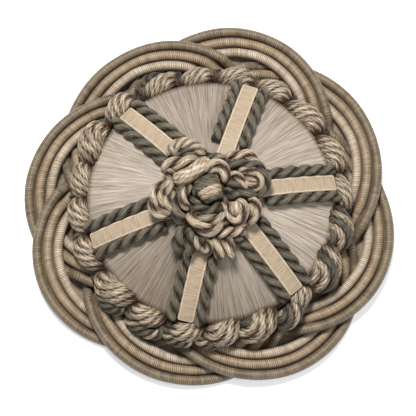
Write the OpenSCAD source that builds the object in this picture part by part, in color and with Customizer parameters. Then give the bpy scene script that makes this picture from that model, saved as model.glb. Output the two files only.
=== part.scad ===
// Passementerie rosette: a ring of interlaced gimp cords round a silk dome with
// six ribs, a rope trim and a small flower of looped cord.
// It lies on its back: +Z is the face, +Y the top edge, z = 0 the underside of the ring.

/* [Gimp ring] */
// Diameter of each wound gimp cord
gimp_d = 2.4; // [2.2:0.1:2.4]
// Radius of the arc that the outer cord of a lobe follows
lobe_arc_r = 24.7; // [24.4:0.1:25]
// Distance from the middle to the centre of that arc
lobe_arc_off = 19; // [18.8:0.1:19.2]
// Distance between the middles of two neighbouring cords
gimp_pitch = 2.52; // [2.5:0.01:2.6]
// Rise and drop of a cord at a crossing
weave_h = 1.34; // [1.32:0.01:1.5]
// Turn of the first lobe
lobe_turn = 32; // [0:1:45]
// Distance that the ring is drawn out at three places
ring_pull = 0.9; // [0:0.1:0.9]
// Turn of the first drawn out place
pull_turn = 77; // [0:1:120]
// Angle by which the lobes lean to one side
lobe_sway = 3; // [0:0.5:3]
// Side that the lobes lean to
sway_turn = 114; // [0:1:360]

/* [Backing and pin] */
// Radius of the felt backing
backing_r = 30; // [29:0.5:31]
// Thickness of the felt backing
backing_t = 1.2; // [1:0.1:1.4]
// Length of the brooch pin's bar
pin_bar_l = 38; // [30:1:40]
// Diameter of the pin wire
pin_wire_d = 0.9; // [0.7:0.1:1]

/* [Dome] */
// Radius of the silk dome
dome_r = 29.8; // [29:0.1:29.8]
// Radius of the ball that the dome is cut from
dome_ball_r = 50.7; // [49:0.1:54]
// Height of the dome's top over the floor
dome_top = 17.6; // [17:0.1:18]

/* [Ribs] */
// Width of a flat strip
strip_w = 3.9; // [3.4:0.1:4]
// Thickness of a flat strip
strip_t = 1.1; // [0.8:0.1:1.2]
// Diameter of a two-ply twisted cord
twist_d = 2.6; // [2.2:0.1:2.6]
// Distance from the middle at which the strips begin
strip_start = 8; // [7:0.5:10]
// Distance from the middle at which the twisted cords begin
twist_start = 12; // [12:0.5:13]

/* [Rope trim] */
// Diameter of the turned rope
rope_d = 4; // [3.4:0.1:4]
// Distance from the middle to the inner face of a knot
knot_in_r = 30.2; // [30.2:0.1:30.6]

/* [Flower] */
// Diameter of the ball in the middle
boule_d = 6.6; // [6:0.1:6.6]
// Radius of the coil round the ball
coil_r = 4.2; // [4.2:0.1:4.4]
// Diameter of the coil's cord
coil_d = 2.6; // [2.2:0.1:2.6]
// Diameter of the tie below the petals
tie_d = 2.4; // [2:0.1:2.4]
// Length of the tie
tie_l = 8.4; // [7:0.1:9]
// Diameter of the short cord ends
end_d = 2.5; // [2:0.1:2.5]
// Length of the short cord ends
end_l = 4.6; // [4:0.1:5]

/* [Hidden] */
$fn = 48;
// Air between pieces that rest on each other
gap = 0.1;
gimp_r = gimp_d / 2;
tube_sides = 8;
// Angles past a lobe's peak: where the cord meets its neighbour, the next but one, and turns back
outer_cross = 22.5;
inner_cross = 45;
turn_back = 67.5;
// Shift of a crossing for each step across the band, and the level run beside it
outer_step = 6.6;
inner_step = 2.5;
level_run = 2;
deg = PI / 180;
lobe_peak = lobe_arc_off + lobe_arc_r;
ring_mid = weave_h + gimp_r * cos(180 / tube_sides);
ring_top = ring_mid + weave_h + gimp_r;
backing_z = ring_top + gap;
dome_z = backing_z + backing_t + gap;
dome_ball_z = dome_top - dome_ball_r;
strip_end = dome_r - 0.4;
twist_end = dome_r - 0.9;
twist_side = (strip_w + twist_d) / 2 + gap;

// The outline of the uneven ring is centred on the origin, so its middle stands a little off
ring_shift = [0.42, -1.05, 0];

// Steps along one lobe, from one inner turn to the next
lobe_steps = concat([-67.5, -57], [for (a = [-48:6:48]) a], [57]);

// Ribs: turn of the rib, distance by which it misses the middle on its left
RIB_TURN = 0;
RIB_SIDE = 1;
RIBS = [
    [135.1, -0.9],
    [72, -0.4],
    [11.7, -1.7],
    [-49.7, 1.2],
    [-103.9, 1.2],
    [-163.3, 1.5]
];

// Knots, from the upper left clockwise: turn, width along the edge
KNOT_TURN = 0;
KNOT_W = 1;
KNOTS = [
    [151.2, 8.6],
    [133, 8.6],
    [113.8, 8.6],
    [96.2, 8.6],
    [79, 8.6],
    [61.5, 8.6],
    [42.9, 8.8],
    [22.6, 8.6],
    [6, 8],
    [-10.4, 8.2],
    [-29.8, 8.8],
    [-45.4, 7],
    [-58.6, 6.4],
    [-71.8, 7],
    [-85.4, 7.4],
    [-100.6, 8],
    [-117.6, 8.6],
    [-136.3, 8.8],
    [-155.6, 8.8],
    [-173.2, 8.6],
    [-190.8, 8.6]
];

// Petals: turn, distance and height of the loop's centre, loop radius, cord diameter,
// tilt of the crown (up is negative), sweep of the loop
PETAL_TURN = 0;
PETAL_OUT = 1;
PETAL_Z = 2;
PETAL_R = 3;
PETAL_D = 4;
PETAL_TILT = 5;
PETAL_SWEEP = 6;
PETALS = [
    [116, 10.9, 20.4, 3.2, 2.6, 8, 180],
    [148, 6.2, 22, 2.5, 3.2, 0, 180],
    [78, 5.4, 21.8, 2.3, 2.8, 0, 180],
    [27, 10.6, 20.4, 4, 2.4, 6, 190],
    [27, 10.2, 19.8, 1.4, 2.2, 0, 180],
    [190, 9.4, 20.6, 3.2, 2.8, 4, 190],
    [256, 5.4, 21.8, 2.6, 2.8, 0, 180],
    [318, 7.8, 22, 1.5, 2.8, -20, 180],
    [339, 12.2, 20.2, 2.2, 2.4, 8, 180]
];

// Short cord ends: turn they point to, place of their middle in x, y and z
END_TURN = 0;
END_X = 1;
END_Y = 2;
END_Z = 3;
ENDS = [
    [-92, 2.3, -13.5, 19.7],
    [-76, 5.4, -13.6, 19.5],
    [-98, -1.7, -12.9, 19.5]
];

taupe = [0.55, 0.5, 0.41];
tan_gimp = [0.72, 0.62, 0.5];
cream = [0.82, 0.76, 0.66];
silk = [0.76, 0.71, 0.65];
beige = [0.74, 0.66, 0.54];
olive = [0.37, 0.36, 0.3];
felt = [0.62, 0.57, 0.5];
steel = [0.7, 0.7, 0.72];

// Path of the gimp cords

// Radius of the outer cord at an angle past the peak, on the arc of the lobe
function arc_root(a) = sqrt(pow(lobe_arc_r, 2) - pow(lobe_arc_off * sin(a), 2));
function arc_radius(a) = lobe_arc_off * cos(a) + arc_root(a);
// How fast that radius falls, in mm for each radian
function arc_fall(a) = lobe_arc_off * sin(a) * (1 + lobe_arc_off * cos(a) / arc_root(a));
// Past the inner crossing the cord turns back on a parabola
function turn_share(a) = (turn_back - a) / (turn_back - inner_cross);
function turn_drop() = arc_fall(inner_cross) * (turn_back - inner_cross) * deg / 2;
function turn_radius(a) = arc_radius(inner_cross) - turn_drop() * (1 - pow(turn_share(a), 2));
function band_radius(a) = a <= inner_cross ? arc_radius(a) : turn_radius(a);
function band_fall(a) = a <= inner_cross ? arc_fall(a) : arc_fall(inner_cross) * turn_share(a);

// Eased step from 0 to 1
function clamp01(x) = min(max(x, 0), 1);
function ease(x) = pow(clamp01(x), 2) * (3 - 2 * clamp01(x));
function ease_between(a, low, high) = ease((a - low) / (high - low));

// Level of cord j of a band, 1 over and -1 under: over after the peak, then under, then back
function over_from(j) = outer_cross - outer_step * j - level_run;
function over_to(j) = outer_cross + outer_step * (2 - j) + level_run;
function under_from(j) = inner_cross - inner_step * j - level_run;
function under_to(j) = inner_cross + inner_step * (2 - j) + level_run;
function level_past_peak(a, j) =
    ease_between(a, 0, over_from(j))
    - 2 * ease_between(a, over_to(j), under_from(j))
    + ease_between(a, under_to(j), turn_back);
function cord_level(a, j) = sign(a) * level_past_peak(abs(a), j);

// The finished ring is a little uneven: three places are drawn out and the lobes lean
function uneven_turn(turn) = turn + lobe_sway * cos(turn - sway_turn);
function uneven_radius(r, turn) = r * (1 + ring_pull / lobe_peak * cos(3 * (turn - pull_turn)));
function uneven_point(r, turn, z) =
    let (t = uneven_turn(turn), q = uneven_radius(r, t))
    [q * cos(t), q * sin(t), z];

// Point of cord j, lobe after lobe clockwise, at an angle past the peak
function cord_point(peak_turn, a, j) =
    let (
        r = band_radius(abs(a)),
        fall = -sign(a) * band_fall(abs(a)),
        slope_length = norm([r, fall]),
        inward = gimp_pitch * j / slope_length,
        along = r * (1 - inward),
        across = -fall * inward
    )
    uneven_point(norm([along, across]), peak_turn - a + atan2(across, along),
        ring_mid + weave_h * cord_level(a, j));

// The strand visits every third lobe and closes after all eight
function cord_path(j) = [
    for (lobe = [0:7])
        for (a = lobe_steps)
            cord_point(lobe_turn - 2 * turn_back * lobe, a, j)
];

// Closed tube along a loop of points
function unit(v) = v / norm(v);
function tube_ring(before, here, after) =
    let (
        ahead = unit(after - before),
        side = unit(cross(ahead, [0, 0, 1])),
        up = cross(side, ahead)
    )
    [for (k = [0:tube_sides - 1])
        let (t = 360 * (k + 0.5) / tube_sides)
        here + gimp_r * (cos(t) * side + sin(t) * up)];

module closed_tube(path) {
    n = len(path);
    points = [
        for (i = [0:n - 1])
            each tube_ring(path[(i + n - 1) % n], path[i], path[(i + 1) % n])
    ];
    faces = [
        for (i = [0:n - 1])
            for (k = [0:tube_sides - 1])
                let (
                    next = ((i + 1) % n) * tube_sides,
                    near_a = i * tube_sides + k,
                    near_b = i * tube_sides + (k + 1) % tube_sides,
                    far_a = next + k,
                    far_b = next + (k + 1) % tube_sides
                )
                each [[near_a, near_b, far_b], [near_a, far_b, far_a]]
    ];
    polyhedron(points, faces, convexity = 10);
}

// Sub-parts

module at_rest() {
    translate(ring_shift) children();
}

module gimp_taupe() {
    color(taupe) at_rest() closed_tube(cord_path(0));
}

module gimp_tan() {
    color(tan_gimp) at_rest() closed_tube(cord_path(1));
}

module gimp_cream() {
    color(cream) at_rest() closed_tube(cord_path(2));
}

module backing_disc() {
    color(felt) at_rest() translate([0, 0, backing_z]) cylinder(r = backing_r, h = backing_t, $fn = 96);
}

// Bar, two posts and the wire between them, in one piece under the backing
module brooch_pin() {
    bar_t = 0.7;
    bar_w = 4.4;
    post_t = 1.4;
    wire_z = 1.6;
    bar_z = backing_z - gap - bar_t;
    post_z = wire_z - pin_wire_d;
    color(steel) at_rest() {
        translate([-pin_bar_l / 2, -bar_w / 2, bar_z]) cube([pin_bar_l, bar_w, bar_t]);
        for (side = [-1, 1])
            translate([side * (pin_bar_l - post_t) / 2 - post_t / 2, -post_t, post_z])
                cube([post_t, 2 * post_t, bar_z - post_z + bar_t / 2]);
        translate([-pin_bar_l / 2 + post_t / 2, 0, wire_z])
            rotate([0, 90, 0])
                cylinder(d = pin_wire_d, h = pin_bar_l - post_t);
    }
}

module silk_dome() {
    color(silk) at_rest() intersection() {
        translate([0, 0, dome_ball_z]) sphere(r = dome_ball_r, $fn = 96);
        translate([0, 0, dome_z]) cylinder(r = dome_r, h = dome_top, $fn = 96);
    }
}

// A bar or cord that follows the dome outwards, with the section drawn by its child:
// x of the section is height over the dome, y is across
module along_rib(rib, side, from_r, to_r) {
    offset_y = rib[RIB_SIDE] + side;
    low = asin(from_r / dome_ball_r);
    high = asin(to_r / dome_ball_r);
    ball_r = sqrt(pow(dome_ball_r, 2) - pow(offset_y, 2));
    rotate([0, 0, rib[RIB_TURN]])
        translate([0, offset_y, dome_ball_z])
            rotate([90, 0, 0])
                rotate([0, 0, 90 - high])
                    rotate_extrude(angle = high - low, $fn = 96)
                        translate([ball_r + gap, 0])
                            children();
}

module strip(rib) {
    color(beige) at_rest() along_rib(rib, 0, strip_start, strip_end)
        translate([0, -strip_w / 2]) square([strip_t, strip_w]);
}

module twist(rib, side) {
    color(olive) at_rest() along_rib(rib, side * twist_side, twist_start, twist_end)
        translate([twist_d / 2, 0]) circle(d = twist_d);
}

// An arch of rope, its crown on +x
module arch(loop_r, cord_d, sweep = 180) {
    rotate([0, 0, -sweep / 2])
        rotate_extrude(angle = sweep)
            translate([loop_r, 0])
                circle(d = cord_d);
}

// A narrow knot is drawn up tighter, so its rope is thinner
function knot_rope(width) = min(rope_d, width / 2 - gap);

module knot(row) {
    cord_d = knot_rope(row[KNOT_W]);
    color(beige) at_rest() rotate([0, 0, row[KNOT_TURN]])
        translate([knot_in_r, 0, ring_top + gap + cord_d / 2])
            arch((row[KNOT_W] - cord_d) / 2, cord_d);
}

module flower_boule() {
    color(beige) at_rest() translate([0, 0, dome_top + gap + boule_d / 2]) sphere(d = boule_d);
}

// The coiled roots of the petals, lying on the dome
module flower_coil() {
    dome_here = dome_ball_z + sqrt(pow(dome_ball_r, 2) - pow(coil_r, 2));
    color(olive) at_rest() translate([0, 0, dome_here + gap + coil_d / 2])
        rotate_extrude() translate([coil_r, 0]) circle(d = coil_d);
}

module petal(row) {
    color(beige) at_rest() rotate([0, 0, row[PETAL_TURN]])
        translate([row[PETAL_OUT], 0, row[PETAL_Z]])
            rotate([0, row[PETAL_TILT], 0])
                arch(row[PETAL_R], row[PETAL_D], row[PETAL_SWEEP]);
}

// A short cord with rounded ends along x
module cord_stub(length, cord_d) {
    straight = length - cord_d;
    rotate([0, 90, 0]) cylinder(d = cord_d, h = straight, center = true);
    for (side = [-1, 1])
        translate([side * straight / 2, 0, 0]) sphere(d = cord_d);
}

module flower_tie() {
    color(beige) at_rest() translate([4.9, -9.6, 19.6]) rotate([0, 0, 7]) cord_stub(tie_l, tie_d);
}

module flower_end(row) {
    color(beige) at_rest() translate([row[END_X], row[END_Y], row[END_Z]])
        rotate([0, 0, row[END_TURN]])
            cord_stub(end_l, end_d);
}

gimp_taupe();
gimp_tan();
gimp_cream();
backing_disc();
brooch_pin();
silk_dome();
strip(RIBS[0]);  // strip_a
strip(RIBS[1]);  // strip_b
strip(RIBS[2]);  // strip_c
strip(RIBS[3]);  // strip_d
strip(RIBS[4]);  // strip_e
strip(RIBS[5]);  // strip_f
twist(RIBS[0], 1);  // twist_a_left
twist(RIBS[1], 1);  // twist_b_left
twist(RIBS[2], 1);  // twist_c_left
twist(RIBS[3], 1);  // twist_d_left
twist(RIBS[4], 1);  // twist_e_left
twist(RIBS[5], 1);  // twist_f_left
twist(RIBS[0], -1);  // twist_a_right
twist(RIBS[1], -1);  // twist_b_right
twist(RIBS[2], -1);  // twist_c_right
twist(RIBS[3], -1);  // twist_d_right
twist(RIBS[4], -1);  // twist_e_right
twist(RIBS[5], -1);  // twist_f_right
knot(KNOTS[0]);  // knot_01
knot(KNOTS[1]);  // knot_02
knot(KNOTS[2]);  // knot_03
knot(KNOTS[3]);  // knot_04
knot(KNOTS[4]);  // knot_05
knot(KNOTS[5]);  // knot_06
knot(KNOTS[6]);  // knot_07
knot(KNOTS[7]);  // knot_08
knot(KNOTS[8]);  // knot_09
knot(KNOTS[9]);  // knot_10
knot(KNOTS[10]);  // knot_11
knot(KNOTS[11]);  // knot_12
knot(KNOTS[12]);  // knot_13
knot(KNOTS[13]);  // knot_14
knot(KNOTS[14]);  // knot_15
knot(KNOTS[15]);  // knot_16
knot(KNOTS[16]);  // knot_17
knot(KNOTS[17]);  // knot_18
knot(KNOTS[18]);  // knot_19
knot(KNOTS[19]);  // knot_20
knot(KNOTS[20]);  // knot_21
flower_boule();
flower_coil();
petal(PETALS[0]);  // petal_1
petal(PETALS[1]);  // petal_2
petal(PETALS[2]);  // petal_3
petal(PETALS[3]);  // petal_4
petal(PETALS[4]);  // petal_5
petal(PETALS[5]);  // petal_6
petal(PETALS[6]);  // petal_7
petal(PETALS[7]);  // petal_8
petal(PETALS[8]);  // petal_9
flower_tie();
flower_end(ENDS[0]);  // flower_end_1
flower_end(ENDS[1]);  // flower_end_2
flower_end(ENDS[2]);  // flower_end_3
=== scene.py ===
"""Looks of a passementerie rosette: gimp ring, silk dome, ribs, rope trim and flower of looped cord."""

import logging
import math
from dataclasses import KW_ONLY, dataclass
from enum import Enum
from typing import Callable

import bpy
import numpy as np
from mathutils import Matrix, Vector


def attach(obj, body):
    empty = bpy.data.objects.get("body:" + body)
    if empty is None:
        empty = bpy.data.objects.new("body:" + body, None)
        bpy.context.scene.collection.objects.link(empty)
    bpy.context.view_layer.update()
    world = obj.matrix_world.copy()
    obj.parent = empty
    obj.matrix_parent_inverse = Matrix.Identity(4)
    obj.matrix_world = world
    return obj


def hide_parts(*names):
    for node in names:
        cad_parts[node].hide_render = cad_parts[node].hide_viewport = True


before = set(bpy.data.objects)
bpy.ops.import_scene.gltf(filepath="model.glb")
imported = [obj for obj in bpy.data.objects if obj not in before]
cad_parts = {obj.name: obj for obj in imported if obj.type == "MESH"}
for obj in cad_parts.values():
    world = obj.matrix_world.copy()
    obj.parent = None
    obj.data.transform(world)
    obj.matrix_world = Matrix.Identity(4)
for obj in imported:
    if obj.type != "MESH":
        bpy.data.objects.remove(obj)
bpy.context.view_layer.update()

Array = np.ndarray
Piece = bpy.types.Object
Material = bpy.types.Material
Socket = bpy.types.NodeSocket
Dye = tuple[int, int, int]
Place = tuple[float, float, float]
Spot = tuple["Value", "Value", "Value"]
Sockets = tuple[tuple[str, object], ...]

LOG = logging.getLogger("rosette")
TAU = 2 * math.pi
MM = 0.001
UP, ACROSS = np.array([0.0, 0.0, 1.0]), np.array([1.0, 0.0, 0.0])
# The dome's axis, the heights of the ring's middle and the felt's face, and the room left between solids
CENTRE = np.array([0.42, -1.05, 0.0]) * MM
RING_MID = 2.449 * MM
FELT_TOP = 6.289 * MM
GAP = 0.1 * MM
# How far the tone differs from one fibre to the next, and how deep a groove counts as lying
FIBRE_SHADE = 0.07
GROOVE_DEEP = 0.06


class Slot(Enum):
    """The record's material slots."""

    TAUPE = "gimp_taupe"
    TAN = "gimp_tan"
    CREAM = "gimp_cream"
    FELT = "felt"
    STEEL = "pin_steel"
    FLOSS = "silk_floss"
    STRIP = "strip_gimp"
    OLIVE = "olive_cord"
    ROPE = "trim_rope"
    FLOWER = "flower_cord"


class Chart(Enum):
    """What a place on a surface is read from."""

    UV = "UV"
    OBJECT = "Object"


def unit(vectors: Array) -> Array:
    """The vectors at length one."""
    return vectors / np.linalg.norm(vectors, axis=-1, keepdims=True)


def turned(angle: float) -> Array:
    """The matrix that turns points about the axis of the dome, by an angle in degrees."""
    c, s = math.cos(math.radians(angle)), math.sin(math.radians(angle))
    return np.array([[c, -s, 0.0], [s, c, 0.0], [0.0, 0.0, 1.0]])


def run_of(points: Array) -> Array:
    """The distance from the first point, along a line of points, at each of them."""
    return np.concatenate([[0.0], np.cumsum(np.linalg.norm(np.diff(points, axis=0), axis=1))])


def read_along(where: Array, run: Array, values: Array) -> Array:
    """Vectors that are given at distances along a line, read at other distances."""
    return np.stack([np.interp(where, run, values[:, k]) for k in range(3)], axis=-1)


def eased(x: Array, low: float, high: float) -> Array:
    """A smooth step, from 0 at low to 1 at high."""
    share = np.clip((x - low) / (high - low), 0.0, 1.0)
    return share * share * (3 - 2 * share)


def rounded(away: Array, length: float, least: float = 0.0) -> Array:
    """How full a rounded end is.

    Args:
        away: the distance from the end.
        length: the length that the rounding takes.
        least: the square of the share that is left at the end itself.

    Returns:
        A share that rises to 1 as a quarter circle does.
    """
    near = np.clip(away / length, 0.0, 1.0)
    return np.sqrt(np.clip(1.0 - (1.0 - near) ** 2, least, 1.0))


def dye(parts: Dye) -> tuple[float, float, float, float]:
    """A colour as it looks, turned into the one that a shader takes.

    Args:
        parts: red, green and blue from 0 to 255.

    Returns:
        The linear colour, with an alpha of one.
    """
    shares = [c / 255 for c in parts]
    linear = [c / 12.92 if c <= 0.04045 else ((c + 0.055) / 1.055) ** 2.4 for c in shares]
    return (*linear, 1.0)


def operator(operation: str) -> tuple[Callable, Callable]:
    """The methods of an operator, which add a Math node.

    Args:
        operation: the node's operation.

    Returns:
        The plain method, and the reflected one that has its own value on the right.
    """
    def plain(self: "Value", other: object) -> "Value":
        """This value first."""
        return self.join(operation, self, other)

    def reflected(self: "Value", other: object) -> "Value":
        """This value last."""
        return self.join(operation, other, self)

    return plain, reflected


class Value:
    """A number that varies over a surface. Arithmetic on it adds Math nodes."""

    def __init__(self, book: "DyeBook", socket: Socket) -> None:
        """Keeps the node sheet and the socket that gives the number."""
        self.book = book
        self.socket = socket

    def join(self, operation: str, first: object, second: object = 0.0) -> "Value":
        """One Math node on two values or numbers."""
        made = self.book.node("ShaderNodeMath", {"operation": operation}, {0: first, 1: second})
        return Value(self.book, made.outputs[0])

    __add__, __radd__ = operator("ADD")
    __sub__, __rsub__ = operator("SUBTRACT")
    __mul__, __rmul__ = operator("MULTIPLY")
    __truediv__, __rtruediv__ = operator("DIVIDE")

    def root(self) -> "Value":
        """Square root."""
        return self.join("SQRT", self)

    def held(self) -> "Value":
        """The value kept between 0 and 1."""
        made = self.book.node("ShaderNodeClamp", None, {"Value": self})
        return Value(self.book, made.outputs[0])


@dataclass(frozen=True)
class Grain:
    """One noise over a surface, and how strongly it sways the dye, the roughness and the relief.

    The scale is for each part of the place. The slant adds some of the first part to the second,
    and the layer stands for the third part where its scale is 0.
    """

    scale: Place
    octaves: float
    dye: float = 0.0
    rough: float = 0.0
    relief: float = 0.0
    slant: float = 0.0
    layer: float = 0.0


class DyeBook:
    """The node sheet of one material."""

    def __init__(self, name: str) -> None:
        """Starts an empty material.

        Args:
            name: the material's name.
        """
        self.material = bpy.data.materials.new(name)
        self.material.use_nodes = True
        self.tree = self.material.node_tree
        self.tree.nodes.clear()

    def node(self, kind: str, settings: dict | None = None, sockets: dict | None = None) -> bpy.types.Node:
        """Adds a node.

        Args:
            kind: the node's type.
            settings: the node's own settings, which are set first.
            sockets: values, sockets or numbers for its inputs.

        Returns:
            The node.
        """
        made = self.tree.nodes.new(kind)
        for key, value in (settings or {}).items():
            setattr(made, key, value)
        for key, value in (sockets or {}).items():
            if isinstance(value, Value):
                value = value.socket
            if isinstance(value, Socket):
                self.tree.links.new(value, made.inputs[key])
            else:
                made.inputs[key].default_value = value
        return made

    def attribute(self, name: str) -> Value:
        """The piece's own attribute of that name."""
        return Value(self, self.node("ShaderNodeAttribute", {"attribute_name": name}).outputs["Fac"])

    def place(self, chart: Chart) -> Spot:
        """The place on the surface.

        Args:
            chart: what it is read from.

        Returns:
            Its three parts.
        """
        source = self.node("ShaderNodeTexCoord").outputs[chart.value]
        parts = self.node("ShaderNodeSeparateXYZ", None, {0: source})
        return tuple(Value(self, socket) for socket in parts.outputs)

    def noise(self, grain: Grain, spot: Spot) -> Value:
        """Noise, with features about one unit wide at a scale of one.

        Args:
            grain: its scale and octaves.
            spot: the place on the surface.

        Returns:
            A value about 0.5.
        """
        x, y, z = (part * scale if scale else grain.layer for part, scale in zip(spot, grain.scale))
        y = y + spot[0] * grain.slant if grain.slant else y
        vector = self.node("ShaderNodeCombineXYZ", None, {0: x, 1: y, 2: z}).outputs[0]
        sockets = {"Vector": vector, "Scale": 1.0, "Detail": grain.octaves, "Roughness": 0.6}
        return Value(self, self.node("ShaderNodeTexNoise", None, sockets).outputs[0])

    def blend(self, share: object, first: object, second: object, how: str = "MIX") -> Socket:
        """A mix of two colours.

        Args:
            share: how much of the second colour shows.
            first, second: colours or colour sockets.
            how: the way that they mix.

        Returns:
            The mixed colour's socket.
        """
        settings = {"data_type": "RGBA", "blend_type": how}
        return self.node("ShaderNodeMix", settings, {0: share, 6: first, 7: second}).outputs[2]

    def close(self, finish: "Finish", colour: object, rough: Value, height: Value) -> Material:
        """Adds the shader and ends the material.

        Args:
            finish: gives the depth of the relief, and the shader's sockets that are the same all over.
            colour: the base colour.
            rough: the roughness.
            height: the relief, from 0 to 1.

        Returns:
            The material.
        """
        sockets = {"Height": height, "Strength": 1.0, "Distance": finish.relief}
        bump = self.node("ShaderNodeBump", None, sockets)
        sockets = {"Base Color": colour, "Roughness": rough, "Normal": bump.outputs[0]}
        shader = self.node("ShaderNodeBsdfPrincipled", None, sockets)
        for key, value in finish.fixed:
            shader.inputs[key].default_value = value
        self.node("ShaderNodeOutputMaterial", None, {"Surface": shader.outputs[0]})
        return self.material


def sheen(weight: float, rough: float, specular: float, tint: Dye = (255, 255, 255)) -> Sockets:
    """The shader's fixed sockets for a soft surface.

    Args:
        weight, rough: how strong the sheen is, and its roughness.
        specular: how strongly the surface mirrors.
        tint: the sheen's colour.

    Returns:
        The sockets' names and values.
    """
    return (("Sheen Weight", weight), ("Sheen Roughness", rough), ("Sheen Tint", dye(tint)),
            ("Specular IOR Level", specular))


@dataclass(frozen=True)
class Finish:
    """A material that wanders between two dyes, as its grains say.

    The light dye's share wanders about bright, and the roughness about rough.
    """

    name: str
    light: Dye
    dark: Dye
    _: KW_ONLY
    grains: tuple[Grain, ...]
    bright: float = 0.5
    rough: float = 0.5
    relief: float = 0.01 * MM
    fixed: Sockets = ()

    def weave(self, book: DyeBook, spot: Spot) -> tuple[Value, Value, Value]:
        """Reads the grains.

        Args:
            book: the material's node sheet.
            spot: the place on the surface.

        Returns:
            The light dye's share, the roughness and the relief.
        """
        noises = [(book.noise(grain, spot), grain) for grain in self.grains]
        dyes = [(noise - 0.5) * grain.dye for noise, grain in noises if grain.dye]
        roughs = [(noise - 0.5) * grain.rough for noise, grain in noises if grain.rough]
        reliefs = [noise * grain.relief for noise, grain in noises if grain.relief]
        share, rough, height = (sum(parts[1:], parts[0]) for parts in (dyes, roughs, reliefs))
        return (share + self.bright).held(), rough + self.rough, height

    def dyed(self, book: DyeBook, share: Value) -> Socket:
        """The colour where the light dye has that share."""
        return book.blend(share, dye(self.dark), dye(self.light))

    def material(self) -> Material:
        """Makes the plain material, on Object coordinates.

        Returns:
            The material.
        """
        book = DyeBook(self.name)
        share, rough, height = self.weave(book, book.place(Chart.OBJECT))
        return book.close(self, self.dyed(book, share), rough, height)


@dataclass(frozen=True)
class ThreadFinish(Finish):
    """Silky yarn in one or two dyes; the tone attribute says which, and deep how far in it lies."""

    other_light: Dye
    other_dark: Dye
    _: KW_ONLY
    grains: tuple[Grain, ...] = (
        Grain((0.35, 12.0, 7.0), 3.0, slant=0.8, dye=1.7, relief=0.6),
        Grain((0.9, 36.0, 0.0), 1.0, slant=2.4, layer=4.0, dye=2.1, rough=0.4, relief=0.4),
        Grain((0.55, 1.5, 40.0), 2.0, dye=1.1))
    bright: float = 0.56
    rough: float = 0.52
    relief: float = 0.26 * MM
    fixed: Sockets = sheen(0.2, 0.45, 0.32, (235, 212, 180))
    shade: float = 3.15
    shade_from: float = 0.1
    shadow: Dye = (78, 56, 36)

    def material(self) -> Material:
        """Makes the material: u runs along the yarn in millimetres and v goes round it.

        Returns:
            The material.
        """
        book = DyeBook(self.name)
        along, around, _ = book.place(Chart.UV)
        tone, deep = book.attribute("tone"), book.attribute("deep")
        share, rough, height = self.weave(book, (along, around, tone))
        other = book.blend(share, dye(self.other_dark), dye(self.other_light))
        colour = book.blend(tone.held(), self.dyed(book, share), other)
        shade = (deep * self.shade - self.shade_from).held()
        colour = book.blend(shade, colour, dye(self.shadow), "MULTIPLY")
        return book.close(self, colour, rough, height)


@dataclass(frozen=True)
class GimpFinish(Finish):
    """A cord wound round and round with one fine thread."""

    # The groove dye is painted shade: in the rib grooves, as the deep attribute says, and down the cord's
    # sides away from its crown
    groove: Dye
    _: KW_ONLY
    grains: tuple[Grain, ...] = (
        Grain((0.11, 2.0, 0.0), 2.0, layer=1.0, dye=1.3),
        Grain((1.7, 0.6, 0.0), 1.0, layer=5.0, dye=1.7, rough=0.3),
        Grain((5.0, 1.5, 0.0), 1.0, layer=9.0, dye=0.6, relief=1.0))
    rough: float = 0.47
    relief: float = 0.05 * MM
    fixed: Sockets = sheen(0.15, 0.5, 0.5)
    deep_share: float = 0.95
    # How fast painted shade darkens the cord away from its crown, and by how much that starts late
    side_shade: tuple[float, float] = (20.0, 0.15)

    def material(self) -> Material:
        """Makes the winding's material: u counts the turns of thread and v goes round the cord.

        Returns:
            The material, with shade painted in the grooves and away from the crown.
        """
        book = DyeBook(self.name)
        spot = book.place(Chart.UV)
        share, rough, height = self.weave(book, spot)
        side = spot[1] - 0.5
        colour = self.dyed(book, share)
        gain, late = self.side_shade
        # Painted shade, first in the rib grooves and then down the sides
        for shadow in (book.attribute("deep") * self.deep_share, side * side * gain - late):
            colour = book.blend(shadow.held(), colour, dye(self.groove))
        return book.close(self, colour, rough, height)


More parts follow.
